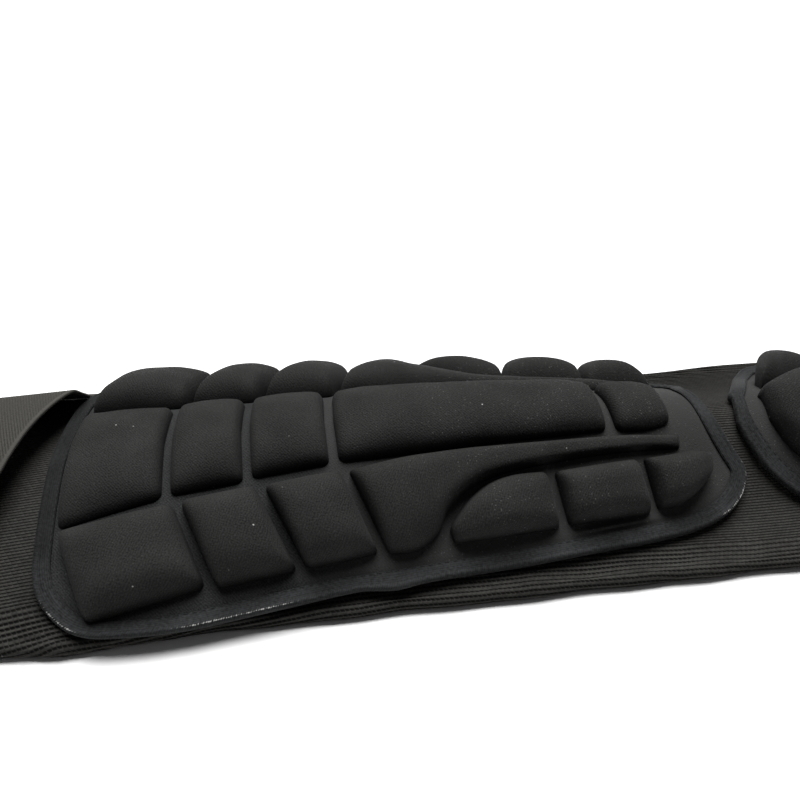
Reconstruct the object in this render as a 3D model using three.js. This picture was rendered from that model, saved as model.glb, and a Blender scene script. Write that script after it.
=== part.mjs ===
// Shin and instep guard: a knitted sleeve that lies flat on a surface, with a padded shin panel and a padded
// instep panel sewn on its arched top, and a wide elastic strap across the calf end.
// Millimetres. +X runs from the calf to the toes, +Y away from the near side, +Z up. The sleeve is on z = 0.
import * as THREE from "three";

// Driving dimensions
const CALF_END = -95; // stations along the guard are counted from the top of the shin pads
const TOE_END = 405;
const MIDDLE = (CALF_END + TOE_END) / 2;
const KNIT = 2; // thickness of the knitted wall
const BASE = 3; // thickness of a panel's foam base
const GAP = 0.4; // clearance between pieces that are sewn or glued together
const FOLD_HEIGHT = 9; // height of the panels' floor where the sleeve folds under
const NEAR_LEAN = 0.055; // the shin panel's near side lies further on by this share of its reach
const FAR_LEAN = 0.09; // its far side lies back by up to this share, towards the toes only
const INSTEP_LEAN = -0.2; // the instep panel's near side lies the other way, and its far side straight

// Sections of the panels' floor along the guard. The crown is its height on the centre line, the half is its
// half width between the folds, and a higher peak narrows the arch and flattens its flanks.
const SECTIONS = [
  { at: CALF_END, crown: 17, half: 69.5, peak: 1.05 },
  { at: -11, crown: 24, half: 67.5, peak: 1.05 },
  { at: 60, crown: 32.8, half: 66, peak: 1.27 },
  { at: 130, crown: 36.6, half: 64, peak: 1.6 },
  { at: 200, crown: 35.3, half: 62.3, peak: 2.4 },
  { at: 260, crown: 31, half: 60, peak: 3.1 },
  { at: 330, crown: 33, half: 57, peak: 2.4 },
  { at: TOE_END, crown: 23, half: 54, peak: 1.9 },
];

// Foam bases: reach is the half width over the arch, far the same on the far side where that differs, and bow
// is how far the middle of a row lies behind its ends.
const SHIN_BASE = [
  { at: -6.4, reach: 46, bow: 0 },
  { at: -4.9, reach: 53.6, bow: 0 },
  { at: -2, reach: 58.8, bow: 0 },
  { at: 2, reach: 63.2, bow: 0 },
  { at: 5.5, reach: 66, bow: 0 },
  { at: 10.5, reach: 68.2, bow: 0 },
  { at: 18, reach: 69.2, bow: 0 },
  { at: 30, reach: 69.8, bow: 0 },
  { at: 43, reach: 69.4, bow: 0 },
  { at: 62, reach: 67.2, bow: 0 },
  { at: 92, reach: 63.4, bow: 0 },
  { at: 115, reach: 62.3, bow: 0 },
  { at: 140, reach: 60.2, bow: 0 },
  { at: 165, reach: 58, bow: 0 },
  { at: 188, reach: 55.2, bow: 0 },
  { at: 210, reach: 52.3, bow: 0.6 },
  { at: 226, reach: 49.3, bow: 1.6 },
  { at: 237, reach: 45.8, bow: 3 },
  { at: 245, reach: 41.8, bow: 4.4 },
  { at: 251, reach: 36.4, bow: 5.8 },
  { at: 254.4, reach: 30, bow: 7 },
];
const INSTEP_BASE = [
  { at: 269.5, reach: 6, far: 2, bow: 0 },
  { at: 270.5, reach: 9.5, far: 3.6, bow: 0 },
  { at: 272.7, reach: 14.8, far: 6.5, bow: 0 },
  { at: 277.8, reach: 23.2, far: 15, bow: 0 },
  { at: 284, reach: 30.5, far: 26, bow: 0 },
  { at: 291, reach: 37, far: 38.5, bow: 0 },
  { at: 300, reach: 42, far: 49.5, bow: 0 },
  { at: 312, reach: 45, far: 53, bow: 0 },
  { at: 328, reach: 46, far: 53.5, bow: 0 },
  { at: 348, reach: 46, far: 52, bow: 0 },
  { at: 366, reach: 43, far: 47.5, bow: 0 },
  { at: 377, reach: 38, far: 41, bow: 0 },
  { at: 383, reach: 31, far: 33, bow: 0 },
  { at: 385.5, reach: 23, far: 24, bow: 0 },
];
const BASE_STEPS = 18; // facets across a base

// Sewn edge round a base: out is the distance from the base, high the height over the floor.
const EDGE_PROFILE = [
  { out: GAP, high: 0.3 },
  { out: 2.2, high: 0.9 },
  { out: 4.2, high: 0.9 },
  { out: 5.6, high: -0.9 },
];

// Raised pads. Each rib crosses a pad from its inner edge to its outer edge: the columns give the station and
// the distance from the centre line at both ends, and the pad's height there.
const SIDE_HEIGHT = 13;
const LOW_SIDE_HEIGHT = 12;
const CENTRE_HEIGHT = 8;
const CENTRE_PADS = [
  { ribs: [[-3.5, 31.5], [14, 28.2], [32.4, 25.2]], corner: 5, height: CENTRE_HEIGHT },
  { ribs: [[37.3, 24.4], [62.5, 22.8]], corner: 4, height: CENTRE_HEIGHT },
  { ribs: [[67.5, 21.8], [95, 19.6]], corner: 4, height: CENTRE_HEIGHT },
  { ribs: [[100.2, 19.2], [122, 18.4], [162, 15.8], [205, 12.6]], corner: 5, height: CENTRE_HEIGHT },
  { ribs: [[210.4, 12.9], [222, 12.4], [232.5, 9.5]], corner: 5, height: 0.85 * CENTRE_HEIGHT },
];
const SIDE_PADS = [
  {
    ribs: [
      { inAt: -2.7, inner: 34.6, outAt: 8.2, outer: 68, high: SIDE_HEIGHT },
      { inAt: 36.7, inner: 29.6, outAt: 47, outer: 60.6, high: SIDE_HEIGHT },
    ],
    corner: 5,
  },
  {
    ribs: [
      { inAt: 41.1, inner: 29.1, outAt: 52.8, outer: 61.4, high: SIDE_HEIGHT },
      { inAt: 66.8, inner: 26.6, outAt: 79, outer: 58, high: SIDE_HEIGHT },
    ],
    corner: 4,
  },
  {
    ribs: [
      { inAt: 71.9, inner: 26.7, outAt: 84.2, outer: 57.8, high: SIDE_HEIGHT },
      { inAt: 98.6, inner: 24, outAt: 108.6, outer: 54.8, high: SIDE_HEIGHT },
    ],
    corner: 4,
  },
  {
    ribs: [
      { inAt: 103.6, inner: 24.2, outAt: 113.8, outer: 55.4, high: SIDE_HEIGHT },
      { inAt: 113, inner: 22.6, outAt: 124, outer: 54.8, high: SIDE_HEIGHT },
      { inAt: 124, inner: 21, outAt: 132.3, outer: 49, high: 0.95 * SIDE_HEIGHT },
      { inAt: 136, inner: 20, outAt: 137, outer: 41.3, high: 0.82 * SIDE_HEIGHT },
      { inAt: 149, inner: 19.1, outAt: 147, outer: 33.2, high: 0.68 * SIDE_HEIGHT },
      { inAt: 164, inner: 18.3, outAt: 163, outer: 27.7, high: 0.5 * SIDE_HEIGHT },
      { inAt: 190, inner: 17, outAt: 189, outer: 23.6, high: 0.4 * SIDE_HEIGHT },
      { inAt: 214, inner: 15.9, outAt: 213.5, outer: 21.2, high: 0.34 * SIDE_HEIGHT },
      { inAt: 234.2, inner: 15.8, outAt: 233.4, outer: 20, high: 0.28 * SIDE_HEIGHT },
    ],
    corner: 2,
  },
  {
    ribs: [
      { inAt: 137.4, inner: 48.2, outAt: 138, outer: 53.2, high: 0.8 * LOW_SIDE_HEIGHT },
      { inAt: 144.6, inner: 39.8, outAt: 150, outer: 52.6, high: 0.95 * LOW_SIDE_HEIGHT },
      { inAt: 153.5, inner: 33.4, outAt: 159, outer: 51.8, high: LOW_SIDE_HEIGHT },
      { inAt: 163.5, inner: 30.3, outAt: 168, outer: 51, high: LOW_SIDE_HEIGHT },
      { inAt: 176.3, inner: 29.4, outAt: 177.6, outer: 50, high: LOW_SIDE_HEIGHT },
    ],
    corner: 3,
  },
  {
    ribs: [
      { inAt: 181.6, inner: 29.4, outAt: 182.8, outer: 49, high: LOW_SIDE_HEIGHT },
      { inAt: 213.4, inner: 25.6, outAt: 214.6, outer: 45.9, high: LOW_SIDE_HEIGHT },
    ],
    corner: 3,
  },
  {
    ribs: [
      { inAt: 218.6, inner: 25.2, outAt: 219.4, outer: 44.2, high: LOW_SIDE_HEIGHT },
      { inAt: 229, inner: 23.8, outAt: 229, outer: 42.2, high: LOW_SIDE_HEIGHT },
      { inAt: 238, inner: 22.4, outAt: 237.5, outer: 36.8, high: 0.95 * LOW_SIDE_HEIGHT },
      { inAt: 245, inner: 23.4, outAt: 244.2, outer: 29.8, high: 0.65 * LOW_SIDE_HEIGHT },
    ],
    corner: 2,
  },
];
// The pads of the far side lie back by this much, and rise by this share of their height.
const FAR_BACK = [0, 0, 0, 0, 0.8, 3, 5];
const FAR_RISE = [1, 1, 1, 1, 1.12, 1.12, 1.04];
const FAR_SIDE_PADS = SIDE_PADS.map(({ ribs, corner }, i) => ({
  ribs: ribs.map((r) => ({
    ...r,
    inAt: r.inAt - FAR_BACK[i],
    outAt: r.outAt - FAR_BACK[i],
    high: r.high * FAR_RISE[i],
  })),
  corner,
}));
const INSTEP_CENTRE_PADS = [
  { ribs: [[319, 8], [348, 14]], corner: 4, height: CENTRE_HEIGHT },
  { ribs: [[353, 14.6], [377, 16.4]], corner: 4, height: CENTRE_HEIGHT },
];
const INSTEP_SIDE_PADS = [
  {
    ribs: [
      { inAt: 319, inner: 13.2, outAt: 319, outer: 38.4, high: LOW_SIDE_HEIGHT },
      { inAt: 348, inner: 18.8, outAt: 346, outer: 38.4, high: LOW_SIDE_HEIGHT },
    ],
    corner: 4,
  },
  {
    ribs: [
      { inAt: 353, inner: 19.6, outAt: 351, outer: 37.8, high: LOW_SIDE_HEIGHT },
      { inAt: 376, inner: 21.4, outAt: 370, outer: 33, high: 0.85 * LOW_SIDE_HEIGHT },
    ],
    corner: 4,
  },
];
// The first pads of the instep differ: the near one runs over the centre line to a slanting groove.
const INSTEP_NEAR_FIRST = {
  ribs: [
    { inAt: 277, inner: -3, outAt: 279, outer: 12, high: 0.85 * LOW_SIDE_HEIGHT },
    { inAt: 285, inner: -6, outAt: 286.5, outer: 23, high: LOW_SIDE_HEIGHT },
    { inAt: 300, inner: -13, outAt: 300, outer: 34, high: LOW_SIDE_HEIGHT },
    { inAt: 314, inner: -18, outAt: 314, outer: 38, high: LOW_SIDE_HEIGHT },
  ],
  corner: 4,
  places: [1, 0.88, 0.66, 0.44, 0.22],
};
const INSTEP_FAR_FIRST = {
  ribs: [
    { inAt: 282, inner: 9, outAt: 283.5, outer: 17, high: LOW_SIDE_HEIGHT },
    { inAt: 289.5, inner: 12, outAt: 292, outer: 30, high: 1.1 * LOW_SIDE_HEIGHT },
    { inAt: 301, inner: 18.5, outAt: 303, outer: 41, high: 1.1 * LOW_SIDE_HEIGHT },
    { inAt: 314, inner: 23, outAt: 314, outer: 44, high: 1.1 * LOW_SIDE_HEIGHT },
  ],
  corner: 3,
};
const INSTEP_FAR_WIDER = 6; // the next pads of the far side reach further out by this much
const INSTEP_FAR_REST = INSTEP_SIDE_PADS.map(({ ribs, corner }) => ({
  ribs: ribs.map((r) => ({ ...r, outer: r.outer + INSTEP_FAR_WIDER })),
  corner,
}));
const LONGEST_STEP = 9; // facets along a pad are no longer than this
const END_STOPS = [0, 0.3, 1]; // rows in a rounded end, as shares of its corner
const CLEAR_OF_END = 1.4; // the next row stays this many corners from the end
const NARROWEST = 0.2; // a rounded end keeps this share of its width
const PLACES = [1, 0.88, 0.62, 0.3]; // places across a pad, from its edge to its middle
const WALL_SHARE = 0.28; // height of a pad's wall, as a share of the pad's height
const CROWN_SHARE = 1.03; // height of a pad's crown
const DOME_REACH = 21; // a pad's top is domed up to this far from its end
const DOME_ACROSS = 2.8; // a higher power makes a flatter top
const DOME_ALONG = 2.1;

// Strap over the calf: middle is the station of its centre, lift its height over the knit.
const STRAP_HALF_WIDTH = 23;
const STRAP_THICKNESS = 1.6;
const STRAP_STEPS = 20;
const STRAP = [
  { across: -67, middle: -61, lift: 0 },
  { across: -58, middle: -59.5, lift: 2 },
  { across: -40, middle: -55, lift: 8 },
  { across: -15, middle: -48.5, lift: 12 },
  { across: 12, middle: -42, lift: 13.5 },
  { across: 38, middle: -33.6, lift: 13 },
  { across: 48, middle: -32.4, lift: 10.8 },
  { across: 56, middle: -32.6, lift: 7 },
  { across: 62, middle: -33.2, lift: 3 },
  { across: 67, middle: -34, lift: 0 },
];

const SLEEVE_ROWS = 25;
const TOP_STEPS = 22; // facets over the top of the sleeve, from fold to fold
const FOLD_STEPS = 4; // facets round a fold
const FLAT_STEPS = 4; // facets across the flat underside
const ARC_STEPS = 120; // chords that measure the way round an arch

// A smooth value between the rows of a table.
function along(table, key, column, at) {
  const last = table.length - 1;
  const slope = (i) => {
    const a = table[Math.max(i - 1, 0)];
    const b = table[Math.min(i + 1, last)];
    return (b[column] - a[column]) / (b[key] - a[key]);
  };
  let i = 0;
  while (i < last - 1 && at > table[i + 1][key]) i += 1;
  const step = table[i + 1][key] - table[i][key];
  const t = THREE.MathUtils.clamp((at - table[i][key]) / step, 0, 1);
  const rise = t * t * (3 - 2 * t);
  const start = t * (1 - t) * (1 - t) * step * slope(i);
  const finish = t * t * (1 - t) * step * slope(i + 1);
  return table[i][column] * (1 - rise) + table[i + 1][column] * rise + start - finish;
}

// The arch of the floor at a station, as chords from the centre line to the fold.
const arches = new Map();
function archAt(at) {
  const key = at.toFixed(3);
  if (!arches.has(key)) {
    const crown = along(SECTIONS, "at", "crown", at);
    const half = along(SECTIONS, "at", "half", at);
    const peak = along(SECTIONS, "at", "peak", at);
    const points = [];
    let way = 0;
    for (let i = 0; i <= ARC_STEPS; i++) {
      const y = (half * i) / ARC_STEPS;
      const share = Math.pow(Math.max(Math.cos((Math.PI / 2) * (y / half)), 0), peak);
      const z = FOLD_HEIGHT + (crown - FOLD_HEIGHT) * share;
      if (i > 0) way += Math.hypot(y - points[i - 1].y, z - points[i - 1].z);
      points.push({ way, y, z });
    }
    arches.set(key, { points, way, half });
  }
  return arches.get(key);
}

// A point over the floor: across is measured over the arch, high along the arch's own normal.
function place(at, across, high) {
  const { points } = archAt(at);
  const side = Math.sign(across) || 1;
  const way = Math.min(Math.abs(across), points[ARC_STEPS].way);
  let i = 0;
  while (i < ARC_STEPS - 1 && way > points[i + 1].way) i += 1;
  const a = points[i];
  const b = points[i + 1];
  const t = (way - a.way) / (b.way - a.way);
  const slope = (b.z - a.z) / (b.y - a.y);
  const level = Math.hypot(1, slope);
  const y = a.y + (b.y - a.y) * t - (high * slope) / level + (Math.abs(across) - way);
  const z = a.z + (b.z - a.z) * t + high / level;
  return new THREE.Vector3(at - MIDDLE, side * y, z);
}

function shinLean(at, across) {
  return across < 0 ? NEAR_LEAN : FAR_LEAN * THREE.MathUtils.smoothstep(at, 110, 240);
}

function instepLean(at, across) {
  return across < 0 ? INSTEP_LEAN : 0;
}

// The floor of a panel whose pattern leans.
function panelFloor(lean) {
  return (at, across, high) => place(at - lean(at, across) * across, across, high);
}

// One closed body from rows of points on its outer and inner faces. A ring is closed along its rows, a tube
// across them, and a slab has walls on all four sides.
function shell(rows, { ring = false, tube = false } = {}) {
  const across = rows[0].outer.length;
  const positions = [];
  for (const row of rows) {
    for (const p of [...row.outer, ...row.inner]) positions.push(p.x, p.y, p.z);
  }
  const outer = (k, j) => (k % rows.length) * 2 * across + (j % across);
  const inner = (k, j) => outer(k, j) + across;
  const triangles = [];
  const quad = (a, b, c, d) => triangles.push(a, b, c, a, c, d);
  const lastRow = ring ? rows.length : rows.length - 1;
  const lastStep = tube ? across : across - 1;
  for (let k = 0; k < lastRow; k++) {
    for (let j = 0; j < lastStep; j++) {
      quad(outer(k, j), outer(k + 1, j), outer(k + 1, j + 1), outer(k, j + 1));
      quad(inner(k, j), inner(k, j + 1), inner(k + 1, j + 1), inner(k + 1, j));
    }
    if (!tube) {
      quad(outer(k, 0), inner(k, 0), inner(k + 1, 0), outer(k + 1, 0));
      quad(outer(k, lastStep), outer(k + 1, lastStep), inner(k + 1, lastStep), inner(k, lastStep));
    }
  }
  if (!ring) {
    const end = rows.length - 1;
    for (let j = 0; j < lastStep; j++) {
      quad(outer(0, j), outer(0, j + 1), inner(0, j + 1), inner(0, j));
      quad(outer(end, j), inner(end, j), inner(end, j + 1), outer(end, j + 1));
    }
  }
  return facingOut(new Float32Array(positions), triangles);
}

// Turns a body's faces outwards if its volume comes out negative.
function facingOut(positions, triangles) {
  const corner = (i) => new THREE.Vector3().fromArray(positions, 3 * i);
  let volume = 0;
  for (let i = 0; i < triangles.length; i += 3) {
    const [a, b, c] = triangles.slice(i, i + 3).map(corner);
    volume += a.dot(b.cross(c));
  }
  if (volume < 0) triangles.reverse();
  const geometry = new THREE.BufferGeometry();
  geometry.setAttribute("position", new THREE.BufferAttribute(positions, 3));
  geometry.setIndex(triangles);
  geometry.computeVertexNormals();
  return geometry;
}

const share = (i, steps) => i / steps;
const centred = (i, steps) => (2 * i) / steps - 1;

// The sleeve's loop at a station: over the arch, round the far fold, along the flat, round the near fold.
function sleeveLoop(at, depth) {
  const { way, half } = archAt(at);
  const seat = BASE + GAP + depth;
  const top = FOLD_HEIGHT - seat;
  const radius = (top - depth) / 2;
  const middle = (top + depth) / 2;
  const points = [];
  for (let i = 1; i < TOP_STEPS; i++) points.push(place(at, way * centred(i, TOP_STEPS), -seat));
  const fold = (side, i) => {
    const angle = Math.PI * (0.5 - share(i, FOLD_STEPS));
    const y = half + radius * Math.cos(angle);
    return new THREE.Vector3(at - MIDDLE, side * y, middle + radius * Math.sin(angle));
  };
  for (let i = 0; i <= FOLD_STEPS; i++) points.push(fold(1, i));
  for (let i = 1; i < FLAT_STEPS; i++) {
    points.push(new THREE.Vector3(at - MIDDLE, -half * centred(i, FLAT_STEPS), depth));
  }
  for (let i = FOLD_STEPS; i >= 0; i--) points.push(fold(-1, i));
  return points;
}

function sleeve() {
  const rows = [];
  for (let k = 0; k <= SLEEVE_ROWS; k++) {
    const at = THREE.MathUtils.lerp(CALF_END, TOE_END, share(k, SLEEVE_ROWS));
    rows.push({ outer: sleeveLoop(at, 0), inner: sleeveLoop(at, KNIT) });
  }
  return shell(rows, { tube: true });
}

// The place on a base's row, from -1 at its near edge to 1 at its far edge.
function onBase(row, side) {
  const reach = side > 0 ? (row.far ?? row.reach) : row.reach;
  return new THREE.Vector2(row.at - row.bow * (1 - side * side), reach * side);
}

function foamBase(table, floor) {
  const layer = (row, high) => {
    const points = [];
    for (let j = 0; j <= BASE_STEPS; j++) {
      const spot = onBase(row, centred(j, BASE_STEPS));
      points.push(floor(spot.x, spot.y, high));
    }
    return points;
  };
  return shell(table.map((row) => ({ outer: layer(row, 0), inner: layer(row, -BASE) })));
}

// The outline of a base, once round.
function outline(table) {
  const first = table[0];
  const last = table[table.length - 1];
  const spots = table.map((row) => onBase(row, -1));
  for (let j = 1; j < BASE_STEPS; j++) spots.push(onBase(last, centred(j, BASE_STEPS)));
  for (const row of [...table].reverse()) spots.push(onBase(row, 1));
  for (let j = 1; j < BASE_STEPS; j++) spots.push(onBase(first, -centred(j, BASE_STEPS)));
  return spots;
}

function sewnEdge(table, floor) {
  const spots = outline(table);
  const rows = spots.map((spot, i) => {
    const before = spots[(i + spots.length - 1) % spots.length];
    const after = spots[(i + 1) % spots.length];
    const run = after.clone().sub(before).normalize();
    const away = new THREE.Vector2(run.y, -run.x);
    const at = (out, high) => {
      const point = spot.clone().addScaledVector(away, out);
      return floor(point.x, point.y, high);
    };
    return {
      outer: EDGE_PROFILE.map(({ out, high }) => at(out, high)),
      inner: EDGE_PROFILE.map(({ out }) => at(out, -BASE)),
    };
  });
  return shell(rows, { ring: true });
}

// How much of its half width a pad has left at a distance from a rounded end.
function rounded(distance, corner) {
  const left = Math.max(corner - distance, 0);
  return corner - Math.sqrt(corner * corner - left * left);
}

// Height of a domed edge, from 0 at the edge to 1 where it has turned level.
function domed(distance, power) {
  const left = 1 - THREE.MathUtils.clamp(distance, 0, 1);
  return Math.max(Math.sqrt(1 - Math.pow(left, power)), 0.001);
}

// A domed pad with rounded corners, lofted along its ribs. The side is -1 near and 1 far.
function pad({ ribs, corner, places = PLACES }, side, floor) {
  const inner = new THREE.SplineCurve(ribs.map((r) => new THREE.Vector2(r.inAt, r.inner)));
  const outer = new THREE.SplineCurve(ribs.map((r) => new THREE.Vector2(r.outAt, r.outer)));
  const heights = new THREE.SplineCurve(ribs.map((r, i) => new THREE.Vector2(i, r.high)));
  const length = (inner.getLength() + outer.getLength()) / 2;
  const steps = Math.max(Math.ceil(length / LONGEST_STEP), ribs.length);
  const ends = END_STOPS.map((stop) => (stop * corner) / length);
  const clear = (CLEAR_OF_END * corner) / length;
  const stops = [...ends];
  for (let i = 1; i < steps; i++) {
    const t = share(i, steps);
    if (t > clear && t < 1 - clear) stops.push(t);
  }
  stops.push(...ends.map((t) => 1 - t).reverse());
  const profile = [...places.map((place) => -place), 0, ...[...places].reverse()];
  const turn = Math.min(DOME_REACH, length / 2);
  const rows = stops.map((t) => {
    const a = inner.getPoint(t);
    const b = outer.getPoint(t);
    const middle = a.clone().lerp(b, 0.5);
    const reach = b.clone().sub(a).multiplyScalar(0.5);
    const distance = Math.min(t, 1 - t) * length;
    const left = Math.max(1 - rounded(distance, corner) / reach.length(), NARROWEST);
    const high = heights.getPoint(t).y;
    const fromEnd = domed(distance / turn, DOME_ALONG);
    const top = (place) => {
      const fromEdge = domed(1 - Math.abs(place), DOME_ACROSS);
      const dome = 1 / (1 / fromEdge + 1 / fromEnd - 1);
      return high * (WALL_SHARE + (CROWN_SHARE - WALL_SHARE) * dome);
    };
    const at = (place, over) => {
      const spot = middle.clone().addScaledVector(reach, place * left);
      return floor(spot.x, side * spot.y, over);
    };
    return {
      outer: profile.map((place) => at(place, top(place))),
      inner: profile.map((place) => at(place, GAP)),
    };
  });
  return shell(rows);
}

// Centre pads lie on both sides of the centre line: each rib is a station and a half width.
function centrePad({ ribs, corner, height }, floor) {
  const full = ribs.map(([at, half]) => ({ inAt: at, inner: -half, outAt: at, outer: half, high: height }));
  return pad({ ribs: full, corner }, 1, floor);
}

function calfStrap() {
  const reach = STRAP[STRAP.length - 1].across;
  const rows = [];
  for (let k = 0; k <= STRAP_STEPS; k++) {
    const across = reach * centred(k, STRAP_STEPS);
    const under = along(STRAP, "across", "lift", across) - BASE;
    const middle = along(STRAP, "across", "middle", across);
    const layer = (high) =>
      [-1, 0, 1].map((edge) => place(middle + edge * STRAP_HALF_WIDTH, across, high));
    rows.push({ outer: layer(under + STRAP_THICKNESS), inner: layer(under) });
  }
  return shell(rows);
}

const knit = new THREE.MeshStandardMaterial({ name: "knit", color: 0x2b2926, roughness: 0.95 });
const jersey = new THREE.MeshStandardMaterial({ name: "jersey", color: 0x1f2022, roughness: 0.85 });
const hem = new THREE.MeshStandardMaterial({ name: "hem", color: 0x22252a, roughness: 0.9 });
const webbing = new THREE.MeshStandardMaterial({ name: "webbing", color: 0x3a3936, roughness: 0.9 });

const guard = new THREE.Group();
guard.name = "shin_and_instep_guard";

function add(name, geometry, material) {
  const mesh = new THREE.Mesh(geometry, material);
  mesh.name = name;
  guard.add(mesh);
}

function addPanel(name, floor, base, centrePads, nearPads, farPads) {
  add(`${name}_base`, foamBase(base, floor), jersey);
  add(`${name}_edge`, sewnEdge(base, floor), hem);
  centrePads.forEach((p, i) => add(`${name}_pad_centre_${i + 1}`, centrePad(p, floor), jersey));
  nearPads.forEach((p, i) => add(`${name}_pad_near_${i + 1}`, pad(p, -1, floor), jersey));
  farPads.forEach((p, i) => add(`${name}_pad_far_${i + 1}`, pad(p, 1, floor), jersey));
}

add("sleeve", sleeve(), knit);
addPanel("shin", panelFloor(shinLean), SHIN_BASE, CENTRE_PADS, SIDE_PADS, FAR_SIDE_PADS);
addPanel(
  "instep",
  panelFloor(instepLean),
  INSTEP_BASE,
  INSTEP_CENTRE_PADS,
  [INSTEP_NEAR_FIRST, ...INSTEP_SIDE_PADS],
  [INSTEP_FAR_FIRST, ...INSTEP_FAR_REST],
);
add("calf_strap", calfStrap(), webbing);

export default guard;
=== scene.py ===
"""Shin and instep guard: a knitted sleeve lying flat, with moulded foam pads and a wide elastic strap."""

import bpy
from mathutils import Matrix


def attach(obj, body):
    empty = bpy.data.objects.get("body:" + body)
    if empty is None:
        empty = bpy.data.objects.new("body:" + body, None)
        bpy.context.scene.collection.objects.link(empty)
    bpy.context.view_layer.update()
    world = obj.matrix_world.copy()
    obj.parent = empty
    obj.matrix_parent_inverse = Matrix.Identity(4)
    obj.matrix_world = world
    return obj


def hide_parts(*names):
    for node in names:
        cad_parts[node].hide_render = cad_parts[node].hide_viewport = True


bl_info = {
    "name": "Shin and instep guard",
    "version": (1, 0, 0),
    "blender": (4, 5, 0),
    "location": "3D View > Sidebar > Guard",
    "description": "Builds the guard's knit, pads, hems and strap round its packed frame",
    "category": "Object",
}

import math

import bmesh
import bpy
import numpy as np
from bpy.props import FloatProperty, FloatVectorProperty, PointerProperty
from mathutils import Matrix, Vector

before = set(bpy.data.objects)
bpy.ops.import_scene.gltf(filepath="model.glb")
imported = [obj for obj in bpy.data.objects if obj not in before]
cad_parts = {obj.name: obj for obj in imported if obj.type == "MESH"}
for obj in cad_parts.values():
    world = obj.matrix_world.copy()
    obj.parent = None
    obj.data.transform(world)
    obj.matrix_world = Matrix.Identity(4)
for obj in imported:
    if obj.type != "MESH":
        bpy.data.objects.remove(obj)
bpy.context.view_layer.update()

# Lengths in these tables are millimetres, as in the part's own drawing. Stations run along the guard from the
# top of the shin pads, and distances across it are measured over the arch, with the far side positive.
MM = 0.001
CALF_END, TOE_END = -95.0, 405.0
MIDDLE = (CALF_END + TOE_END) / 2
KNIT = 2.0  # thickness of the sleeve's wall
BASE = 3.0  # thickness of the foam under the pads
GAP = 0.4  # clearance between pieces that are sewn or glued together
FOLD_HEIGHT = 9.0  # where the arch of the floor meets the sleeve's folds
# How far back a panel's pattern lies, as a share of the reach across.
NEAR_LEAN, FAR_LEAN, INSTEP_LEAN = 0.055, 0.09, -0.2

# Station, crown height, half width between the folds, and how peaked the arch is.
SECTIONS = np.array(
    [
        (CALF_END, 17, 69.5, 1.05),
        (-11, 24, 67.5, 1.05),
        (60, 32.8, 66, 1.27),
        (130, 36.6, 64, 1.6),
        (200, 35.3, 62.3, 2.4),
        (260, 31, 60, 3.1),
        (330, 33, 57, 2.4),
        (TOE_END, 23, 54, 1.9),
    ]
)

# Station, reach over the arch on the near side, how far the middle of the row lies behind its ends, and
# the reach on the far side.
SHIN_BASE = np.array(
    [
        (-6.4, 46, 0),
        (-4.9, 53.6, 0),
        (-2, 58.8, 0),
        (2, 63.2, 0),
        (5.5, 66, 0),
        (10.5, 68.2, 0),
        (18, 69.2, 0),
        (30, 69.8, 0),
        (43, 69.4, 0),
        (62, 67.2, 0),
        (92, 63.4, 0),
        (115, 62.3, 0),
        (140, 60.2, 0),
        (165, 58, 0),
        (188, 55.2, 0),
        (210, 52.3, 0.6),
        (226, 49.3, 1.6),
        (237, 45.8, 3),
        (245, 41.8, 4.4),
        (251, 36.4, 5.8),
        (254.4, 30, 7),
    ]
)
SHIN_BASE = np.column_stack([SHIN_BASE, SHIN_BASE[:, 1]])
INSTEP_BASE = np.array(
    [
        (269.5, 6, 0, 2),
        (270.5, 9.5, 0, 3.6),
        (272.7, 14.8, 0, 6.5),
        (277.8, 23.2, 0, 15),
        (284, 30.5, 0, 26),
        (291, 37, 0, 38.5),
        (300, 42, 0, 49.5),
        (312, 45, 0, 53),
        (328, 46, 0, 53.5),
        (348, 46, 0, 52),
        (366, 43, 0, 47.5),
        (377, 38, 0, 41),
        (383, 31, 0, 33),
        (385.5, 23, 0, 24),
    ]
)

# Pads: each rib gives the station and the distance from the centre line of its inner and its outer end, and
# the pad's height there. The number after the ribs rounds the pad's corners.
TALL, LOW, CENTRE = 13.0, 12.0, 8.0
SIDE_PADS = [
    ([(-2.7, 34.6, 8.2, 68, TALL), (36.7, 29.6, 47, 60.6, TALL)], 5),
    ([(41.1, 29.1, 52.8, 61.4, TALL), (66.8, 26.6, 79, 58, TALL)], 4),
    ([(71.9, 26.7, 84.2, 57.8, TALL), (98.6, 24, 108.6, 54.8, TALL)], 4),
    (
        [
            (103.6, 24.2, 113.8, 55.4, TALL),
            (113, 22.6, 124, 54.8, TALL),
            (124, 21, 132.3, 49, 0.95 * TALL),
            (136, 20, 137, 41.3, 0.82 * TALL),
            (149, 19.1, 147, 33.2, 0.68 * TALL),
            (164, 18.3, 163, 27.7, 0.5 * TALL),
            (190, 17, 189, 23.6, 0.4 * TALL),
            (214, 15.9, 213.5, 21.2, 0.34 * TALL),
            (234.2, 15.8, 233.4, 20, 0.28 * TALL),
        ],
        2,
    ),
    (
        [
            (137.4, 48.2, 138, 53.2, 0.8 * LOW),
            (144.6, 39.8, 150, 52.6, 0.95 * LOW),
            (153.5, 33.4, 159, 51.8, LOW),
            (163.5, 30.3, 168, 51, LOW),
            (176.3, 29.4, 177.6, 50, LOW),
        ],
        3,
    ),
    ([(181.6, 29.4, 182.8, 49, LOW), (213.4, 25.6, 214.6, 45.9, LOW)], 3),
    (
        [
            (218.6, 25.2, 219.4, 44.2, LOW),
            (229, 23.8, 229, 42.2, LOW),
            (238, 22.4, 237.5, 36.8, 0.95 * LOW),
            (245, 23.4, 244.2, 29.8, 0.65 * LOW),
        ],
        2,
    ),
]
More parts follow.
